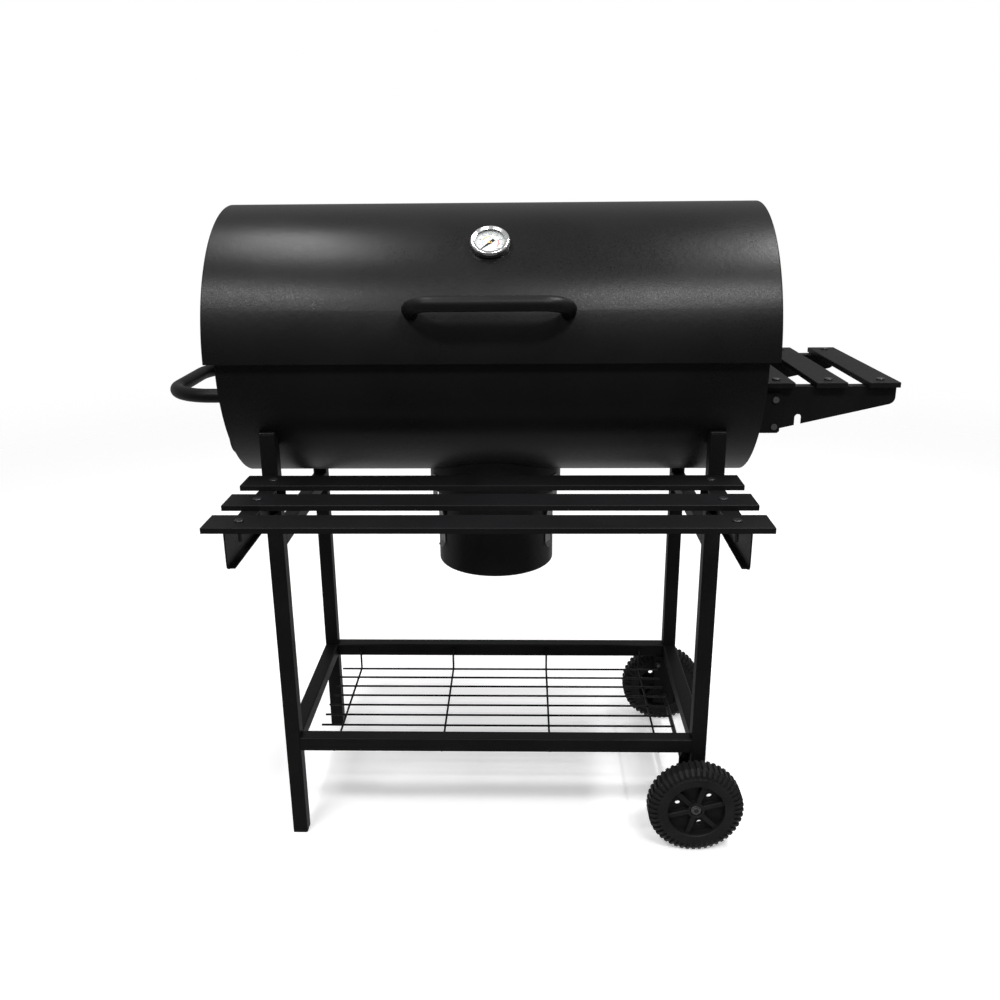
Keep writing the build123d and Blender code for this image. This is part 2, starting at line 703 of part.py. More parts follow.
def table_arm(side):
    top = TABLE_TOP - SLAT_T
    points = [
        (BOWL_HALF + 4, top),
        (BOWL_HALF + 4, MOUNT_BOTTOM + 6),
        (MOUNT_END_X - 4, MOUNT_BOTTOM + 6),
        (ARM_END_X, ARM_END_Z),
        (ARM_END_X, top),
    ]
    face = make_face(Plane.XZ * Polyline(*points, close=True))
    y = ARM_Y if side > 0 else -ARM_Y + PLATE
    web = Pos(0, y, 0) * extrude(face, amount=PLATE)
    corner = web.edges().filter_by(Axis.Y).group_by(Axis.X)[-1].sort_by(Axis.Z)[0]
    web = fillet(corner, ARM_CORNER)
    web -= notch(y)
    y0, y1 = sorted((side * (ARM_Y - PLATE), side * (ARM_Y - ARM_FLANGE)))
    shape = web + block(BOWL_HALF + 4, ARM_END_X, y0, y1, top - PLATE, top)
    for x, z in mount_bolt_places():
        shape -= rod(SCREW_HOLE_R, (x, y + 1, z), (x, y - PLATE - 1, z))
    for x in table_slat_centres():
        bolt_y = side * (ARM_Y - ARM_BOLT_INSET)
        shape -= rod(SCREW_HOLE_R, (x, bolt_y, top - PLATE - 1), (x, bolt_y, top + 1))
    return shape


def notch(y):
    # an open slot in the arm's lower edge, for hanging tools
    far = y - PLATE - 1
    slot = block(NOTCH_X - NOTCH_R, NOTCH_X + NOTCH_R, far, y + 1, MOUNT_BOTTOM, NOTCH_TOP)
    return slot + rod(NOTCH_R, (NOTCH_X, far, NOTCH_TOP), (NOTCH_X, y + 1, NOTCH_TOP))


def mount_bolt_places():
    x = MOUNT_END_X - 9
    return ((x, MOUNT_TOP - 11), (x, MOUNT_BOTTOM + 10))


def table_mount(side):
    # an angle: one leg on the bowl's end plate, one leg outside the arm
    y0, y1 = sorted((side * ARM_Y, side * (ARM_Y + PLATE)))
    web = block(BOWL_HALF, MOUNT_END_X, y0, y1, MOUNT_BOTTOM, MOUNT_TOP)
    edges = web.edges().filter_by(Axis.Y).group_by(Axis.X)[-1]
    web = fillet(edges, 5)
    y2, y3 = sorted((side * ARM_Y, side * (ARM_Y - 27)))
    foot = block(BOWL_HALF, BOWL_HALF + PLATE, y2, y3, MOUNT_BOTTOM, MOUNT_TOP)
    shape = web + foot
    for x, z in mount_bolt_places():
        shape -= rod(SCREW_HOLE_R, (x, y0 - 1, z), (x, y1 + 1, z))
    for y, z in end_bolt_places(1):
        shape -= rod(SCREW_HOLE_R, (BOWL_HALF - 2, y, z), (BOWL_HALF + 5, y, z))
    return shape


def table_bolts():
    # four hex bolts hold the arms to the mounts
    bolts = []
    for side in (-1, 1):
        for x, z in mount_bolt_places():
            outside = side * (ARM_Y + PLATE)
            inside = side * (ARM_Y - PLATE)
            bolts.append(
                rod(SCREW_R, (x, outside, z), (x, side * (ARM_Y - 12), z))
                + rod(FLAT_HEAD_R, (x, outside, z), (x, outside + side * FLAT_HEAD_H, z))
                + hexagon(NUT_ACROSS, (x, inside, z), (x, inside - side * NUT_H, z))
            )
    return group(bolts)


def mount_screws():
    # four screws hold the mounts to the bowl's right end
    screws = []
    for y, z in end_bolt_places(1):
        outside = BOWL_HALF + PLATE
        inside = BOWL_HALF - SHEET
        screws.append(
            rod(SCREW_R, (outside, y, z), (inside - NUT_H - 2, y, z))
            + rod(FLAT_HEAD_R, (outside, y, z), (outside + FLAT_HEAD_H, y, z))
            + hexagon(NUT_ACROSS, (inside, y, z), (inside - NUT_H, y, z))
        )
    return group(screws)


def table_slat_centres():
    return [TABLE_FIRST_X + TABLE_SLAT_W / 2 + i * TABLE_PITCH for i in range(3)]


def table_slat(i):
    bolt_y = ARM_Y - ARM_BOLT_INSET
    shape = Rot(0, 0, 90) * slat(2 * TABLE_HALF_Y, TABLE_SLAT_W, (-bolt_y, bolt_y))
    return Pos(table_slat_centres()[i], 0, TABLE_TOP) * shape


def table_slat_bolts():
    bolts = []
    under = TABLE_TOP - SLAT_T - PLATE
    for x in table_slat_centres():
        for side in (-1, 1):
            y = side * (ARM_Y - ARM_BOLT_INSET)
            bolt = pan_bolt(x, y, TABLE_TOP, under - NUT_H - 2)
            bolts.append(bolt + hexagon(NUT_ACROSS, (x, y, under - NUT_H), (x, y, under)))
    return group(bolts)


# ---------------------------------------------------------------- side handle and damper

def grip(points, bend):
    path = FilletPolyline(*points, radius=bend)
    start = Vector(*points[0])
    plane = Plane(origin=start, z_dir=Vector(*points[1]) - start)
    outer = sweep(plane * Circle(GRIP_R), path=path)
    inner = sweep(plane * Circle(GRIP_R - GRIP_WALL), path=path)
    return outer, inner


def side_handle():
    x_end = -BOWL_HALF
    x_nose = -BOWL_HALF - SIDE_GRIP_REACH
    points = [
        (x_end, -SIDE_GRIP_HALF, SIDE_GRIP_Z),
        (x_nose, -SIDE_GRIP_HALF, SIDE_GRIP_Z),
        (x_nose, SIDE_GRIP_HALF, SIDE_GRIP_Z),
        (x_end, SIDE_GRIP_HALF, SIDE_GRIP_Z),
    ]
    outer, inner = grip(points, SIDE_GRIP_BEND)
    shape = outer - inner
    for y in (-SIDE_GRIP_HALF, SIDE_GRIP_HALF):
        plug = rod(GRIP_R - GRIP_WALL, (x_end, y, SIDE_GRIP_Z), (x_end - GRIP_PLUG, y, SIDE_GRIP_Z))
        shape += plug - rod(SCREW_R, (x_end + 1, y, SIDE_GRIP_Z), (x_end - GRIP_PLUG, y, SIDE_GRIP_Z))
    return shape


def side_handle_screws():
    screws = []
    inside = -BOWL_HALF + SHEET
    for y in (-SIDE_GRIP_HALF, SIDE_GRIP_HALF):
        screws.append(
            rod(SCREW_R, (1 - BOWL_HALF - GRIP_PLUG, y, SIDE_GRIP_Z), (inside, y, SIDE_GRIP_Z))
            + hexagon(NUT_ACROSS, (inside, y, SIDE_GRIP_Z), (inside + SCREW_HEAD_H, y, SIDE_GRIP_Z))
        )
    return group(screws)


def vent_damper():
    face = -BOWL_HALF - 0.4
    centre = (DAMPER_Y, DAMPER_Z)
    disc = rod(DAMPER_R, (face, *centre), (face - DAMPER_H, *centre))
    disc -= rod(DAMPER_R - SHEET, (face - DAMPER_T, *centre), (face - DAMPER_H - 1, *centre))
    for i in range(VENTS):
        y, z = vent_centre(i, 0)
        disc -= rod(VENT_R, (face + 1, y, z), (face - 3, y, z))
    disc -= rod(PIVOT_RIVET_R + RUNNING_FIT, (face + 1, *centre), (face - 3, *centre))
    y, z = vent_centre(0.5, 0)
    tab = block(face - 16, face - 1, y - 7, y + 7, z - 0.8, z + 0.8)
    return disc + tab


def vent_pivot():
    centre = (DAMPER_Y, DAMPER_Z)
    inside = -BOWL_HALF + SHEET
    under_head = -BOWL_HALF - 0.4 - DAMPER_T - 0.3
    return (
        rod(PIVOT_RIVET_R, (under_head, *centre), (inside, *centre))
        + rod(7, (under_head, *centre), (under_head - 2, *centre))
        + rod(6, (inside, *centre), (inside + 2, *centre))
    )


# ---------------------------------------------------------------- lid

def above(shape, z):
    return shape - block(-600, 600, -400, 400, z - 600, z)


def lid_shell():
    half = LID_HALF - SHEET
    shape = barrel(LID_R, -half, half) - barrel(LID_R - SHEET, -half - 1, half + 1)
    shape = above(shape, LID_EDGE_Z)
    plane = dial_plane()
    shape -= extrude(plane * Circle(THREAD_HOLE_R), amount=20, both=True)
    for x in (-LID_GRIP_HALF, LID_GRIP_HALF):
        shape -= rod(SCREW_HOLE_R, lid_point(LID_GRIP_ANGLE, LID_R - 10, x),
                     lid_point(LID_GRIP_ANGLE, LID_R + 10, x))
    return shape


def lid_end(side):
    outer = side * LID_HALF
    inner = side * (LID_HALF - SHEET)
    lip = side * (LID_HALF - SHEET - LID_FLANGE)
    plate = barrel(LID_R, min(outer, inner), max(outer, inner))
    rim = plate.edges().filter_by(GeomType.CIRCLE).sort_by(Axis.X)[-1 if side > 0 else 0]
    plate = fillet(rim, LID_ROUND)
    ring = barrel(LID_R - SHEET, min(inner, lip), max(inner, lip))
    ring -= barrel(LID_R - 2 * SHEET, min(inner, lip), max(inner, lip))
    return above(plate + ring, LID_EDGE_Z)


def lid_point(angle, radius, x):
    a = math.radians(angle)
    return (x, -radius * math.cos(a), AXIS_Z + radius * math.sin(a))


def lid_handle():
    reach = LID_R + LID_GRIP_REACH
    foot = LID_R - 4
    points = [
        lid_point(LID_GRIP_ANGLE, foot, -LID_GRIP_HALF),
        lid_point(LID_GRIP_ANGLE, reach, -LID_GRIP_HALF),
        lid_point(LID_GRIP_ANGLE, reach, LID_GRIP_HALF),
        lid_point(LID_GRIP_ANGLE, foot, LID_GRIP_HALF),
    ]
    outer, inner = grip(points, LID_GRIP_BEND)
    shape = outer - inner
    for x in (-LID_GRIP_HALF, LID_GRIP_HALF):
        low = lid_point(LID_GRIP_ANGLE, foot, x)
        high = lid_point(LID_GRIP_ANGLE, LID_R + GRIP_PLUG - 1, x)
        shape += rod(GRIP_R - GRIP_WALL, low, high)
        shape -= rod(SCREW_R, low, high)
    return shape - barrel(LID_R, -LID_HALF, LID_HALF)


def lid_handle_screws():
    screws = []
    seat = LID_R - SHEET - 0.2
    for x in (-LID_GRIP_HALF, LID_GRIP_HALF):
        a = LID_GRIP_ANGLE
        screws.append(
            rod(SCREW_R, lid_point(a, seat, x), lid_point(a, LID_R + 10, x))
            + hexagon(NUT_ACROSS, lid_point(a, seat, x), lid_point(a, seat - SCREW_HEAD_H, x))
        )
    return group(screws)


def hinge_pins():
    pins = []
    for x in (-HINGE_X, HINGE_X):
        start = (x - HINGE_HALF - 1, HINGE_Y, HINGE_Z)
        end = (x + HINGE_HALF, HINGE_Y, HINGE_Z)
        head = rod(4, (x - HINGE_HALF - 3, HINGE_Y, HINGE_Z), start)
        pins.append(rod(PIN_R, start, end) + head)
    return group(pins)


def hinge_lid_leaf(x):
    a0 = math.degrees(math.atan2(LID_EDGE_Z + 0.5 - AXIS_Z, LID_R))
    leaf = sector(LID_R, LID_R + PLATE, a0, 12, x - HINGE_HALF, x + HINGE_HALF)
    middle = rod(KNUCKLE_R, (x - HINGE_SPLIT, HINGE_Y, HINGE_Z), (x + HINGE_SPLIT, HINGE_Y, HINGE_Z))
    shape = leaf - block(x - HINGE_HALF, x - HINGE_SPLIT, 200, 240, 820, HINGE_Z + KNUCKLE_R + 1)
    shape -= block(x + HINGE_SPLIT, x + HINGE_HALF, 200, 240, 820, HINGE_Z + KNUCKLE_R + 1)
    shape += middle
    shape -= rod(PIN_R + RUNNING_FIT, (x - HINGE_HALF, HINGE_Y, HINGE_Z), (x + HINGE_HALF, HINGE_Y, HINGE_Z))
    return shape


def sector(r0, r1, a0, a1, x0, x1):
    # part of a tube about the barrel's axis on its rear side, angles above the horizontal
    ring = barrel(r1, x0, x1) - barrel(r0, x0, x1)
    far = 400
    wedge = Polyline(
        (0, 0),
        (far * math.cos(math.radians(a0)), far * math.sin(math.radians(a0))),
        (far * math.cos(math.radians(a1)), far * math.sin(math.radians(a1))),
        close=True,
    )
    return ring & along_x(make_face(wedge), x0, x1)


def hinge_bowl_leaf(x):
    leaf = sector(BOWL_R, BOWL_R + PLATE, -16, -5, x - HINGE_HALF, x + HINGE_HALF)
    points = [
        (BOWL_R + 0.4, -18.5),
        (BOWL_R + 0.4, -22.5),
        (HINGE_Y + 3.6, -2.0),
        (HINGE_Y + 0.5, 2.0),
    ]
    strut = along_x(make_face(Polyline(*points, close=True)), x - HINGE_HALF, x + HINGE_HALF)
    knuckles = rod(KNUCKLE_R, (x - HINGE_HALF, HINGE_Y, HINGE_Z), (x + HINGE_HALF, HINGE_Y, HINGE_Z))
    shape = leaf + strut + knuckles
    gap = HINGE_SPLIT + HINGE_GAP
    shape -= block(x - gap, x + gap, HINGE_Y - KNUCKLE_R - 4, 250, HINGE_Z - KNUCKLE_R - 2, 850)
    shape -= rod(PIN_R, (x - 40, HINGE_Y, HINGE_Z), (x + 40, HINGE_Y, HINGE_Z))
    return shape


# ---------------------------------------------------------------- thermometer

def dial_plane():
    a = math.radians(DIAL_ANGLE)
    origin = lid_point(DIAL_ANGLE, LID_R, 0)
    return Plane(origin=origin, x_dir=(1, 0, 0), z_dir=(0, -math.cos(a), math.sin(a)))


def on_dial(sketch, z0, z1):
    plane = dial_plane()
    return extrude(plane.offset(z0) * sketch, amount=z1 - z0)


def thermometer_case():
    # a turned cup with a rounded bezel, which holds the lens from above
    cup = Polyline(
        (0, CASE_FLOOR),
        (0, 0),
        (CASE_R, 0),
        (CASE_R, BEZEL_BOTTOM),
        (BEZEL_R, BEZEL_BOTTOM),
        (BEZEL_R, BEZEL_SHOULDER),
    )
    crown_r = (BEZEL_R + BEZEL_INNER_R) / 2
    crown = ThreePointArc((BEZEL_R, BEZEL_SHOULDER), (BEZEL_R - 1.2, BEZEL_TOP - 1.0), (crown_r, BEZEL_TOP))
    inside = Polyline(
        (crown_r, BEZEL_TOP),
        (BEZEL_INNER_R, BEZEL_LIP),
        (BEZEL_INNER_R, LENS_BOTTOM + LENS_T),
        (CASE_BORE_R, LENS_BOTTOM + LENS_T),
        (CASE_BORE_R, CASE_FLOOR),
        (0, CASE_FLOOR),
    )
    section = make_face(Plane.XZ * (cup + crown + inside))
    turned = dial_plane().location * revolve(section, Axis.Z)
    thread = on_dial(Circle(THREAD_R), -THREAD_LENGTH, 0)
    stem = on_dial(Circle(STEM_R), -STEM_LENGTH, 0)
    return turned + thread + stem


def thermometer_dial():
    face = CASE_FLOOR + DIAL_T
    return on_dial(Circle(DIAL_R), CASE_FLOOR, face) + on_dial(Circle(PIVOT_R), face, PIVOT_TOP)


def thermometer_needle():
    # the pointer rests at the low end of the scale, lower left
    ends = ((-2.4, -NEEDLE_TAIL), (2.4, -NEEDLE_TAIL), (0.4, NEEDLE_TIP), (-0.4, NEEDLE_TIP))
    sketch = make_face(Polyline(*ends, close=True)) + Circle(2.8)
    sketch = Rot(0, 0, 135) * (sketch - Circle(PIVOT_R + RUNNING_FIT))
    return on_dial(sketch, NEEDLE_BOTTOM, NEEDLE_BOTTOM + NEEDLE_T)


def thermometer_lens():
    return on_dial(Circle(CASE_BORE_R), LENS_BOTTOM, LENS_BOTTOM + LENS_T)


def thermometer_nut():
    sketch = RegularPolygon(7, 6, major_radius=False) - Circle(THREAD_R)
    return on_dial(sketch, -6.7, -1.7)


# ---------------------------------------------------------------- write every piece

for side_x, name_x in ((-1, "left"), (1, "right")):
    for side_y, name_y in ((-1, "front"), (1, "rear")):
        save(leg(side_x, side_y), "leg_" + name_y + "_" + name_x)
    save(side_rail(side_x, RAIL_TOP), "lower_rail_" + name_x)
    save(side_rail(side_x, BRACE_TOP), "upper_brace_" + name_x)
    save(bowl_end(side_x), "bowl_end_" + name_x)
    save(lid_end(side_x), "lid_end_" + name_x)
    save(shelf_bracket(side_x), "shelf_bracket_" + name_x)
one_wheel = wheel()
for side, name in ((-1, "front"), (1, "rear")):
    save(long_rail(side), "lower_rail_" + name)
    save(placed_wheel(one_wheel, side), "wheel_" + name)
    save(table_arm(side), "table_arm_" + name)
for i in range(3):
    save(shelf_slat(i), "shelf_slat_" + str(i + 1))

save(leg_caps(), "leg_caps")
save(wire_rack(), "wire_rack")
save(axle(), "axle")
save(axle_brackets(), "axle_brackets")
save(axle_bracket_bolts(), "axle_bracket_bolts")
save(axle_washers(), "axle_washers")
save(axle_nuts(), "axle_nuts")
save(bowl_shell(), "bowl_shell")
save(grate_rests(), "grate_rests")
save(grate(-GRATE_HALF_X, -1, GRATE_HALF_Y, GRATE_Z, GRATE_PITCH), "cooking_grate_left")
save(grate(1, GRATE_HALF_X, GRATE_HALF_Y, GRATE_Z, GRATE_PITCH), "cooking_grate_right")
save(grate(-GRATE_HALF_X, GRATE_HALF_X, COAL_HALF_Y, COAL_Z, COAL_PITCH), "charcoal_grate")
save(ash_collar(), "ash_collar")
save(ash_can(), "ash_can")
save(group([ash_clip(-1), ash_clip(1)]), "ash_clips")
save(ash_clip_rivets(), "ash_clip_rivets")
save(shelf_bolts(), "shelf_bolts")
save(hex_nuts(), "hex_nuts")
save(group([table_slat(i) for i in range(3)]), "table_slats")
save(group([table_mount(-1), table_mount(1)]), "table_mounts")
save(group([table_bolts(), mount_screws()]), "table_bolts")
save(table_slat_bolts(), "table_slat_bolts")
save(side_handle(), "side_handle")
save(side_handle_screws(), "side_handle_screws")
save(vent_damper(), "vent_damper")
save(vent_pivot(), "vent_pivot")
save(lid_shell(), "lid_shell")
save(lid_handle(), "lid_handle")
save(lid_handle_screws(), "lid_handle_screws")
save(hinge_pins(), "hinge_pins")
save(group([hinge_lid_leaf(-HINGE_X), hinge_lid_leaf(HINGE_X)]), "hinge_lid_leaves")
save(group([hinge_bowl_leaf(-HINGE_X), hinge_bowl_leaf(HINGE_X)]), "hinge_bowl_leaves")
save(thermometer_case(), "thermometer_case")
save(thermometer_dial(), "thermometer_dial")
save(thermometer_needle(), "thermometer_needle")
save(thermometer_lens(), "thermometer_lens")
save(thermometer_nut(), "thermometer_nut")
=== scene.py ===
import json
import math

import bmesh
import bpy
from mathutils import Matrix, Vector


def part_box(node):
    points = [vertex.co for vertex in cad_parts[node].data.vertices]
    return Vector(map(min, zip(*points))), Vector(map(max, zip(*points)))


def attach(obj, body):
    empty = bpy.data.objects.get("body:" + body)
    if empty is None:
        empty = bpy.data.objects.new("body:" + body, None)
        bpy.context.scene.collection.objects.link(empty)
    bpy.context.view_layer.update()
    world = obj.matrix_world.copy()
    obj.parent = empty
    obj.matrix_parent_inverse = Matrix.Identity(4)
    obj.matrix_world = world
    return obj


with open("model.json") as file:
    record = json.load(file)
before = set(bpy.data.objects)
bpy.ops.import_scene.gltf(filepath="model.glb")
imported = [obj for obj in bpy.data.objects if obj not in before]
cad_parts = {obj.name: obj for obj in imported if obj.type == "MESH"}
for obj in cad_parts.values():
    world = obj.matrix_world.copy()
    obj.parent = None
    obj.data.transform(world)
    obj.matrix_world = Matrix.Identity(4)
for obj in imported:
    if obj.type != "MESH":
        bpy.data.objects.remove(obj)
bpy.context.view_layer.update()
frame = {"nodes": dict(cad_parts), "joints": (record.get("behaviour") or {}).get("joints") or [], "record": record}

# Barrel charcoal grill: materials, dial print, needle hub, floor, light and camera around the packed
# model. Metres.
NODES = frame["nodes"]
SCENE = bpy.context.scene
JOINTS = {joint["name"]: joint for joint in frame["joints"]}


def middle(*names):
    """Middle of a few CAD nodes, level with the floor."""
    boxes = [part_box(name) for name in names]
    low = [min(box[0][i] for box in boxes) for i in range(2)]
    high = [max(box[1][i] for box in boxes) for i in range(2)]
    return Vector(((low[0] + high[0]) / 2, (low[1] + high[1]) / 2, 0.0))


def axes_matrix(right, up, out, origin):
    """Matrix that lays x, y and z along three directions from an origin."""
    columns = (right, up, out, origin)
    return Matrix([[column[i] for column in columns] for i in range(3)] + [[0, 0, 0, 1]])


LEGS = middle("leg_front_left", "leg_rear_right")


# ---------------------------------------------------------------- material helpers

class Graph:
    """A node tree where one call adds a node and feeds its inputs."""

    def __init__(self, tree):
        self.tree = tree

    def feed(self, node, inputs):
        """Gives each named input a constant, or the output of another node."""
        for name, value in inputs.items():
            if isinstance(value, bpy.types.NodeSocket):
                self.tree.links.new(value, node.inputs[name])
            else:
                node.inputs[name].default_value = value

    def node(self, kind, inputs=None, **settings):
        """Adds a shader node with its settings and its inputs."""
        node = self.tree.nodes.new("ShaderNode" + kind)
        for name, value in settings.items():
            setattr(node, name, value)
        self.feed(node, inputs or {})
        return node

    def math(self, operation, a, b):
        return self.node("Math", {0: a, 1: b}, operation=operation).outputs["Value"]

    def add(self, a, b):
        return self.math("ADD", a, b)

    def times(self, a, b):
        return self.math("MULTIPLY", a, b)

    def spread(self, value, low, high, start=0.3, end=0.7, smooth=False):
        """Maps start..end onto low..high, and holds the ends. Noise stays mostly within 0.3..0.7."""
        ranges = {"Value": value, "From Min": start, "From Max": end, "To Min": low, "To Max": high}
        kind = "SMOOTHSTEP" if smooth else "LINEAR"
        return self.node("MapRange", ranges, interpolation_type=kind).outputs["Result"]

    def mix_shaders(self, factor, first, second):
        return self.node("MixShader", {"Fac": factor, 1: first, 2: second}).outputs["Shader"]


class Shader(Graph):
    """A material's node tree, with short names for the nodes that the materials share."""

    def __init__(self, name):
        self.material = bpy.data.materials.new(name)
        self.material.use_nodes = True
        super().__init__(self.material.node_tree)
        self.bsdf = self.tree.nodes["Principled BSDF"]
        self.coords = self.node("TexCoord").outputs["Object"]

    def noise(self, scale, detail=2.0, roughness=0.5, stretch=None):
        vector = self.coords
        if stretch:
            vector = self.node("Mapping", {"Vector": vector, "Scale": stretch}).outputs["Vector"]
        inputs = {"Vector": vector, "Scale": scale, "Detail": detail, "Roughness": roughness}
        return self.node("TexNoise", inputs).outputs["Fac"]

    def blend(self, factor, colour_a, colour_b):
        inputs = {"Factor": factor, "A": (*colour_a, 1.0), "B": (*colour_b, 1.0)}
        return self.node("Mix", inputs, data_type="RGBA").outputs["Result"]

    def edge_mask(self, radius):
        """1 close to an outside or inside edge and 0 on open faces, with the rounded normal."""
        rounded = self.node("Bevel", {"Radius": radius}, samples=4).outputs["Normal"]
        flat = self.node("NewGeometry").outputs["Normal"]
        likeness = self.node("VectorMath", {0: rounded, 1: flat}, operation="DOT_PRODUCT").outputs["Value"]
        return self.spread(likeness, 1.0, 0.0, start=0.8, end=0.99), rounded

    def relief(self, layers, normal=None):
        """Bumps from (height, depth in metres) pairs, stacked on the normal, or on the face's own."""
        for height, depth in layers:
            inputs = {"Strength": 1.0, "Distance": depth, "Height": height}
            if normal is not None:
                inputs["Normal"] = normal
            normal = self.node("Bump", inputs).outputs["Normal"]
        return normal

    def surface(self, shader):
        """Puts a shader other than the Principled BSDF on the material."""
        self.feed(self.tree.nodes["Material Output"], {"Surface": shader})


def shaded(colour, share):
    return tuple(channel * share for channel in colour)


def powder_coat(name, colour, roughness, specular, grain=420.0, depth=0.00022):
    """Sprayed black coat: fine grain, slight orange peel, uneven gloss, rubbed edges with a painted highlight
    along them.

    The fine grain has a noise scale, and a depth in metres.
    """
    s = Shader(name)
    fine = s.noise(grain, detail=3.0, roughness=0.6)
    peel = s.noise(95.0, detail=1.0)
    patches = s.noise(7.0, detail=3.0)
    near_edge, rounded = s.edge_mask(radius=0.0011)
    speck = s.spread(s.noise(grain * 1.7, detail=1.0), 0.0, 0.35, start=0.42, end=0.75)
    # Painted highlight with rubbing: the coat is lighter along its edges, in patches, standing in for light caught
    # by the rounded edges.
    rub_and_sheen = s.times(near_edge, s.spread(s.noise(60.0, detail=3.0), 0.2, 1.0))
    marks_and_sheen = s.add(s.times(speck, 0.5), s.times(rub_and_sheen, 0.6))
    tone_and_edge_sheen = s.add(s.spread(patches, 0.0, 0.22), marks_and_sheen)
    fine_gloss = s.spread(fine, roughness - 0.07, roughness + 0.05)
    s.feed(s.bsdf, {
        "Base Color": s.blend(tone_and_edge_sheen, shaded(colour, 0.75), shaded(colour, 2.4)),
        "Roughness": s.add(fine_gloss, s.spread(patches, -0.03, 0.03)),
        "Specular IOR Level": specular,
        "Normal": s.relief([(peel, 0.00012), (fine, depth)], rounded),
    })
    return s.material


def moulded_plastic(name, colour, roughness, specular):
    """Spark-eroded mould texture with faint flow marks."""
    s = Shader(name)
    grain = s.noise(900.0)
    flow = s.noise(22.0, detail=3.0, roughness=0.6)
    near_edge, rounded = s.edge_mask(radius=0.0009)
    # Painted highlight: lighter along every edge, standing in for light caught by the rounded edges.
    tone_and_edge_sheen = s.add(s.spread(flow, 0.0, 0.4), s.times(near_edge, 0.6))
    grain_gloss = s.spread(grain, roughness - 0.06, roughness + 0.06)
    s.feed(s.bsdf, {
        "Base Color": s.blend(tone_and_edge_sheen, shaded(colour, 0.8), shaded(colour, 2.0)),
        "Roughness": s.add(grain_gloss, s.spread(flow, -0.05, 0.05)),
        "Specular IOR Level": specular,
        "Normal": s.relief([(flow, 0.00008), (grain, 0.0001)], rounded),
    })
    return s.material


def zinc_plate(name):
    """Dull zinc: cloudy passivation, fine machining lines, darker edges."""
    s = Shader(name)
    cloud = s.noise(160.0, detail=4.0, roughness=0.6)
    lines = s.noise(900.0, stretch=(1.0, 6.0, 1.0))
    near_edge, rounded = s.edge_mask(radius=0.0004)
    darkness = s.add(s.spread(cloud, 0.0, 0.8), s.times(near_edge, 0.3))
    s.feed(s.bsdf, {
        "Base Color": s.blend(darkness, (0.40, 0.40, 0.39), (0.22, 0.225, 0.23)),
        "Metallic": 1.0,
        "Roughness": s.add(s.spread(cloud, 0.24, 0.4), s.spread(lines, -0.05, 0.06)),
        "Normal": s.relief([(lines, 0.00003), (cloud, 0.00004)], rounded),
    })
    return s.material


def chrome(name):
    """Polished ring with hairline scratches and a little haze."""
    s = Shader(name)
    haze = s.noise(130.0, detail=3.0)
    hair = s.noise(1500.0, detail=1.0, stretch=(0.15, 1.0, 1.0))
    s.feed(s.bsdf, {
        "Base Color": s.blend(s.spread(haze, 0.0, 1.0), (0.86, 0.86, 0.87), (0.72, 0.72, 0.73)),
        "Metallic": 1.0,
        "Roughness": s.add(s.spread(haze, 0.07, 0.16), s.spread(hair, 0.0, 0.06)),
        "Normal": s.relief([(hair, 0.000008)]),
    })
    return s.material


def enamel(name):
    """Porcelain-enamelled bars: glossy black with pinholes and baked-on dulling."""
    s = Shader(name)
    pits = s.noise(700.0)
    soot = s.noise(28.0, detail=4.0, roughness=0.65)
    near_edge, rounded = s.edge_mask(radius=0.0006)
    # Painted highlight: lighter along every edge, standing in for light caught by the rounded edges.
    tone_and_edge_sheen = s.add(s.spread(soot, 0.0, 0.8), s.times(near_edge, 0.2))
    s.feed(s.bsdf, {
        "Base Color": s.blend(tone_and_edge_sheen, (0.006, 0.006, 0.0065), (0.022, 0.021, 0.02)),
        "Roughness": s.add(s.spread(soot, 0.25, 0.5), s.spread(pits, -0.04, 0.04)),
        "Specular IOR Level": 0.4,
        "Coat Weight": 0.3,
        "Coat Roughness": 0.15,
        "Normal": s.relief([(pits, 0.00005), (soot, 0.0001)], rounded),
    })
    return s.material


def painted(name, colour, roughness, specular=0.4, metallic=0.0):
    """Thin paint, ink or plated trim with a fine grain and slight unevenness."""
    s = Shader(name)
    fine = s.noise(1600.0)
    wide = s.noise(120.0)
    s.feed(s.bsdf, {
        "Base Color": s.blend(s.spread(wide, 0.0, 1.0), colour, shaded(colour, 0.85)),
        "Metallic": metallic,
        "Roughness": s.spread(fine, roughness - 0.05, roughness + 0.05),
        "Specular IOR Level": specular,
        "Normal": s.relief([(fine, 0.00001)]),
    })
    return s.material


def lens_glass(name):
    """Flat clear lens: see-through, with faint dust and a reflection that grows at a slant."""
    s = Shader(name)
    s.tree.nodes.remove(s.bsdf)
    clear = s.node("BsdfTransparent", {"Color": (0.97, 0.98, 0.98, 1.0)}).outputs["BSDF"]
    dust = s.spread(s.noise(260.0), 0.02, 0.09, start=0.0, end=1.0)
    gloss = s.node("BsdfGlossy", {"Roughness": dust}).outputs["BSDF"]
    fresnel = s.node("Fresnel", {"IOR": 1.45}).outputs["Fac"]
    back_face = s.node("NewGeometry").outputs["Backfacing"]
    front_face = s.math("LESS_THAN", back_face, 0.5)
    s.surface(s.mix_shaders(s.times(fresnel, front_face), clear, gloss))
    return s.material


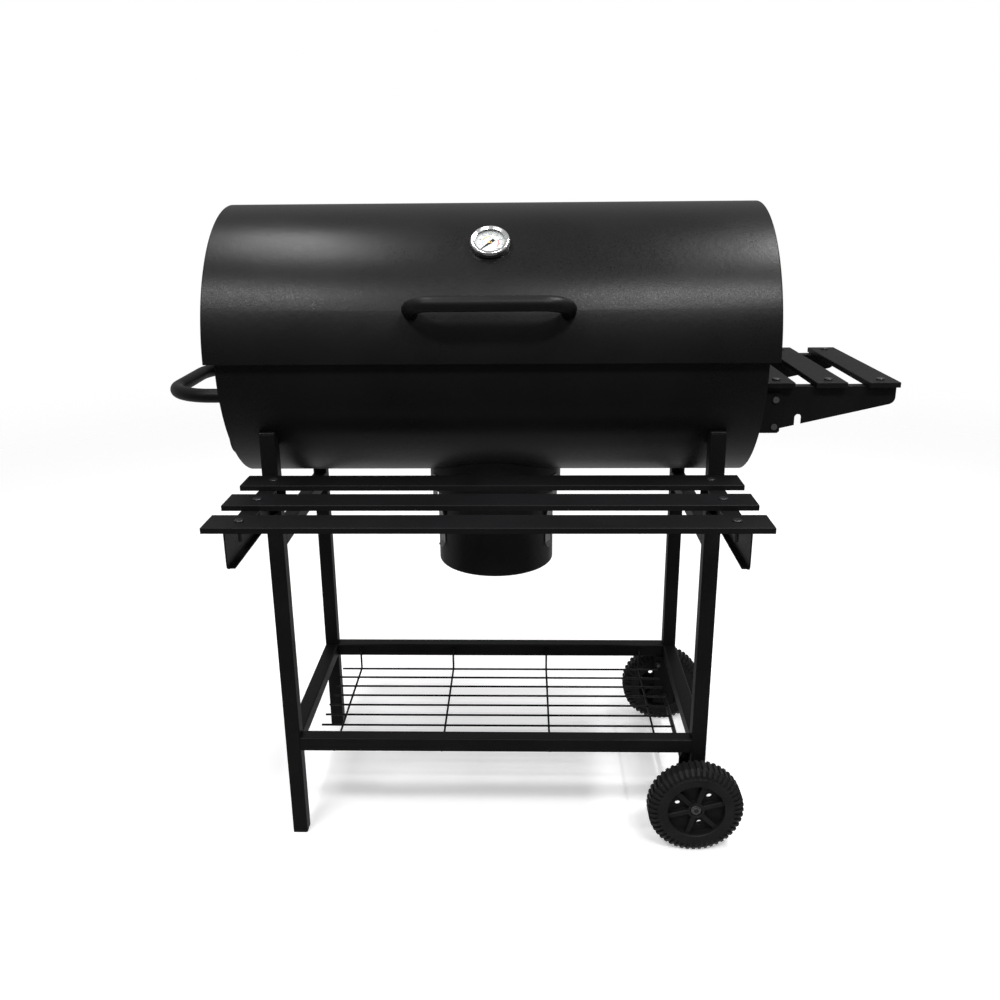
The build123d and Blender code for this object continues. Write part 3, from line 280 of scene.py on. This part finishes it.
MATERIALS = {
    "frame_coat": powder_coat("frame_coat_look", (0.0048, 0.0048, 0.0050), 0.46, 0.15),
    "black_coat": powder_coat("black_coat_look", (0.0042, 0.0042, 0.0044), 0.44, 0.15),
    "barrel_coat": powder_coat("barrel_coat_look", (0.0042, 0.0042, 0.0043), 0.34, 0.17, depth=0.0001),
    "slat_coat": powder_coat("slat_coat_look", (0.0044, 0.0044, 0.0049), 0.5, 0.11),
    "plastic": moulded_plastic("plastic_look", (0.006, 0.006, 0.0062), 0.42, 0.25),
    "wheel_plastic": moulded_plastic("wheel_plastic_look", (0.0075, 0.0075, 0.0078), 0.5, 0.22),
    "zinc": zinc_plate("zinc_look"),
    "dark_screw": powder_coat("dark_screw_look", (0.012, 0.012, 0.013), 0.34, 0.45, 900.0, 0.00005),
    "wire_coat": powder_coat("wire_coat_look", (0.004, 0.004, 0.0042), 0.4, 0.16, 900.0, 0.00006),
    "grate_enamel": enamel("grate_enamel_look"),
    "bezel_chrome": chrome("bezel_chrome_look"),
    "dial_face": painted("dial_face_look", (0.70, 0.70, 0.69), 0.32),
    "needle_black": painted("needle_black_look", (0.006, 0.006, 0.006), 0.35),
    "lens_glass": lens_glass("lens_glass_look"),
}
INK_BLACK = painted("ink_black_look", (0.012, 0.012, 0.013), 0.5)
INK_GREY = painted("ink_grey_look", (0.16, 0.16, 0.17), 0.5)
INK_RED = painted("ink_red_look", (0.55, 0.03, 0.02), 0.5)
INK_YELLOW = painted("ink_yellow_look", (0.75, 0.5, 0.03), 0.5)
BRASS = painted("brass_look", (0.78, 0.42, 0.12), 0.25, specular=0.5, metallic=1.0)

for row in frame["record"]["subparts"]:
    for slot in NODES[row["node"]].material_slots:
        slot.material = MATERIALS[row["material_slot"]]


# ---------------------------------------------------------------- thermometer print and hub

NEEDLE_JOINT = JOINTS["needle_turn"]
RIGHT = Vector((1, 0, 0))
DIAL_NORMAL = -Vector(NEEDLE_JOINT["axis"]).normalized()
DIAL_UP = DIAL_NORMAL.cross(RIGHT)
NEEDLE_TO_FACE = 0.0009      # from the joint's point, inside the needle, down to the dial's face
NEEDLE_TOP = 0.0003          # from the joint's point up to the needle's top
INK = 0.00006                # thickness of the print
LIFT = 0.00001               # keeps the print and the hub clear of the face under them

SCALE_START = 225            # degrees, at the lower left
SCALE_SWEEP = 270            # degrees, clockwise
DIVISIONS = 8                # long ticks on both scales, after the first


def piece(name, bm, material, body, smooth, place):
    """Turns a bmesh into a piece that rides on a CAD body."""
    bmesh.ops.recalc_face_normals(bm, faces=bm.faces)
    mesh = bpy.data.meshes.new(name)
    bm.to_mesh(mesh)
    bm.free()
    mesh.transform(place)
    for polygon in mesh.polygons:
        polygon.use_smooth = smooth
    mesh.materials.append(material)
    obj = bpy.data.objects.new(name, mesh)
    SCENE.collection.objects.link(obj)
    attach(obj, body)


def dial_place(height):
    """Matrix of the dial's plane, height metres above its face: x to the right, y to 12 o'clock."""
    origin = Vector(NEEDLE_JOINT["pos_m"]) + DIAL_NORMAL * (height - NEEDLE_TO_FACE)
    return axes_matrix(RIGHT, DIAL_UP, DIAL_NORMAL, origin)


def on_scale(radius, share):
    """Point at a share of the scale, which runs clockwise."""
    a = math.radians(SCALE_START - SCALE_SWEEP * share)
    return radius * math.cos(a), radius * math.sin(a)


def arc_band(bm, inner, outer, start, end, steps):
    """A thin flat band of print between two shares of the scale."""
    corners = ((inner, 0), (outer, 0), (outer, INK), (inner, INK))
    rows = []
    for i in range(steps + 1):
        share = start + (end - start) * i / steps
        rows.append([bm.verts.new((*on_scale(radius, share), z)) for radius, z in corners])
    for a, b in zip(rows, rows[1:]):
        for j in range(4):
            bm.faces.new((a[j], a[(j + 1) % 4], b[(j + 1) % 4], b[j]))
    bm.faces.new(rows[0])
    bm.faces.new(rows[-1][::-1])


def tick(bm, share, inner, outer, half_width):
    """A scale mark, drawn as a narrow band."""
    half_share = half_width / outer / math.radians(SCALE_SWEEP)
    arc_band(bm, inner, outer, share - half_share, share + half_share, 1)


def numeral(bm, text, size, radius, share):
    """Upright generic scale number, centred on its place."""
    curve = bpy.data.curves.new("numeral_" + text, "FONT")
    curve.body = text
    curve.size = size
    curve.extrude = INK / 2
    curve.align_x = "CENTER"
    curve.align_y = "CENTER"
    holder = bpy.data.objects.new("numeral_holder", curve)
    SCENE.collection.objects.link(holder)
    bpy.context.view_layer.update()
    depsgraph = bpy.context.evaluated_depsgraph_get()
    mesh = bpy.data.meshes.new_from_object(holder.evaluated_get(depsgraph))
    mesh.transform(Matrix.Translation((*on_scale(radius, share), INK / 2)))
    bm.from_mesh(mesh)
    bpy.data.objects.remove(holder)
    bpy.data.meshes.remove(mesh)
    bpy.data.curves.remove(curve)


def ticks(bm, per_division, outer, long_mark, short_mark):
    """Marks that end at the outer radius. Each is given by its inner radius and half width."""
    count = DIVISIONS * per_division
    for i in range(count + 1):
        inner, half_width = long_mark if i % per_division == 0 else short_mark
        tick(bm, i / count, inner, outer, half_width)


def numerals(bm, unit, every, size, radius):
    """Multiples of unit round the scale, one at every so many divisions."""
    for i in range(0, DIVISIONS + 1, every):
        numeral(bm, str(unit * i), size, radius, i / DIVISIONS)


def dial_print():
    """Outer and inner scales with generic numbers, and two coloured zones."""
    outer = bmesh.new()
    ticks(outer, per_division=5, outer=0.0217, long_mark=(0.0192, 0.00030), short_mark=(0.0204, 0.00015))
    numerals(outer, unit=50, every=1, size=0.0040, radius=0.0165)
    piece("dial_scale_outer", outer, INK_BLACK, "lid", False, dial_place(LIFT))

    inner = bmesh.new()
    arc_band(inner, 0.0115, 0.0120, start=0.0, end=1.0, steps=60)
    ticks(inner, per_division=4, outer=0.0115, long_mark=(0.0104, 0.00014), short_mark=(0.0109, 0.00014))
    numerals(inner, unit=30, every=2, size=0.0023, radius=0.0088)
    piece("dial_scale_inner", inner, INK_GREY, "lid", False, dial_place(LIFT))

    for name, ink, start, end in (("yellow", INK_YELLOW, 0.28, 0.5), ("red", INK_RED, 0.74, 0.98)):
        zone = bmesh.new()
        arc_band(zone, 0.0124, 0.0134, start, end, steps=20)
        piece("dial_zone_" + name, zone, ink, "lid", False, dial_place(LIFT))


def lathe(profile, steps):
    """Turns (radius, height) points round the z axis. A profile between two axis points is closed."""
    bm = bmesh.new()
    rings = []
    for radius, height in profile:
        if radius == 0.0:
            rings.append([bm.verts.new((0, 0, height))])
            continue
        angles = [2 * math.pi * i / steps for i in range(steps)]
        rings.append([bm.verts.new((radius * math.cos(a), radius * math.sin(a), height)) for a in angles])
    for a, b in zip(rings, rings[1:]):
        for i in range(steps):
            j = (i + 1) % steps
            corners = [a[i % len(a)], a[j % len(a)], b[j % len(b)], b[i % len(b)]]
            unique = list(dict.fromkeys(corners))
            if len(unique) >= 3:
                bm.faces.new(unique)
    return bm


def needle_hub():
    """Small brass cap over the middle of the needle."""
    flat_foot = ((0.0, 0.0), (0.0027, 0.0))
    crown = ((0.0028, 0.0002), (0.0027, 0.0006), (0.0022, 0.0009), (0.0012, 0.0011), (0.0, 0.0011))
    cap = lathe(flat_foot + crown, steps=40)
    place = dial_place(NEEDLE_TO_FACE + NEEDLE_TOP + LIFT)
    piece("needle_hub", cap, BRASS, "needle", True, place)


dial_print()
needle_hub()


# ---------------------------------------------------------------- floor, light, camera

def stage_floor():
    """Pale floor that melts into the backdrop a few metres out."""
    bm = bmesh.new()
    bmesh.ops.create_circle(bm, cap_ends=True, segments=96, radius=9.0)
    mesh = bpy.data.meshes.new("floor")
    bm.to_mesh(mesh)
    bm.free()
    floor = bpy.data.objects.new("floor", mesh)
    SCENE.collection.objects.link(floor)
    s = Shader("floor_look")
    s.feed(s.bsdf, {
        "Base Color": (0.88, 0.88, 0.88, 1.0),
        "Roughness": 0.9,
        "Specular IOR Level": 0.1,
        "Emission Color": (1.0, 1.0, 1.0, 1.0),
        "Emission Strength": 0.38,
    })
    distance = s.node("VectorMath", {0: s.coords}, operation="LENGTH").outputs["Value"]
    fade = s.spread(distance, 0.0, 1.0, start=1.2, end=4.5, smooth=True)
    clear = s.node("BsdfTransparent").outputs["BSDF"]
    s.surface(s.mix_shaders(fade, s.bsdf.outputs["BSDF"], clear))
    mesh.materials.append(s.material)
    floor.visible_glossy = False


def studio_world(seen, above, below, ground, walls):
    """White backdrop of strength seen, and a fill light that the camera doesn't see.

    The fill is strongest overhead and faint below the horizon, with a soft light from the ground and,
    low down, from the sides and the back. Its limits are a direction's z and y, from -1 to 1.
    """
    world = bpy.data.worlds.new("studio")
    SCENE.world = world
    world.use_nodes = True
    g = Graph(world.node_tree)
    direction = g.node("TexCoord").outputs["Generated"]
    axes = g.node("SeparateXYZ", {"Vector": direction}).outputs
    sky = g.spread(axes["Z"], below, above, start=-0.10, end=0.65, smooth=True)
    ground_light = g.spread(axes["Z"], 0.0, ground, start=-0.35, end=-0.95, smooth=True)
    low_down = g.spread(axes["Z"], 0.0, 1.0, start=0.30, end=0.05, smooth=True)
    not_in_front = g.spread(axes["Y"], 0.0, walls, start=-0.55, end=0.15, smooth=True)
    strength = g.add(g.add(sky, ground_light), g.times(not_in_front, low_down))
    fill = world.node_tree.nodes["Background"]
    g.feed(fill, {"Color": (1, 1, 1, 1), "Strength": strength})
    backdrop = g.node("Background", {"Color": (1, 1, 1, 1), "Strength": seen})
    by_camera = g.node("LightPath").outputs["Is Camera Ray"]
    both = g.mix_shaders(by_camera, fill.outputs["Background"], backdrop.outputs["Background"])
    g.feed(world.node_tree.nodes["World Output"], {"Surface": both})


def softbox(name, place, target, width, height, radiance):
    """Rectangular soft light; radiance is its brightness as seen in a mirror."""
    data = bpy.data.lights.new(name, "AREA")
    data.shape = "RECTANGLE"
    data.size = width
    data.size_y = height
    data.energy = radiance * width * height * math.pi
    light = bpy.data.objects.new(name, data)
    SCENE.collection.objects.link(light)
    light.location = place
    light.rotation_mode = "QUATERNION"
    light.rotation_quaternion = (Vector(target) - Vector(place)).to_track_quat("-Z", "Y")
    light.visible_camera = False


def camera():
    """The photograph's point of view, solved from the leg frame and the barrel."""
    data = bpy.data.cameras.new("camera")
    data.lens = 34.46
    data.sensor_width = 36.0
    data.clip_start = 0.01
    data.clip_end = 100.0
    obj = bpy.data.objects.new("camera", data)
    SCENE.collection.objects.link(obj)
    right = (0.999697, 0.023158, -0.008363)
    up = (0.000737, 0.311356, 0.950292)
    back = (0.024611, -0.950010, 0.311244)
    place = LEGS + Vector((0.0485, -1.5900, 1.0717))
    obj.matrix_world = axes_matrix(right, up, back, place)
    SCENE.camera = obj


BARREL = LEGS + Vector((0.0, 0.0, 0.95))
SOFTBOX_Z = 2.6
stage_floor()
studio_world(seen=1.0, above=0.42, below=0.08, ground=0.24, walls=0.30)
for name, x, y, width, height, radiance in (
    ("softbox_back_left", -0.66, -0.06, 0.84, 0.16, 39.0),
    ("softbox_back_right", 1.06, -0.14, 0.84, 0.16, 92.0),
    ("softbox_front_left", -1.02, -1.66, 0.86, 0.24, 44.0),
    ("softbox_front_right", 0.70, -1.79, 0.92, 0.24, 50.0),
):
    softbox(name, LEGS + Vector((x, y, SOFTBOX_Z)), BARREL, width, height, radiance)
camera()
SCENE.view_settings.view_transform = "Standard"

bpy.context.view_layer.update()
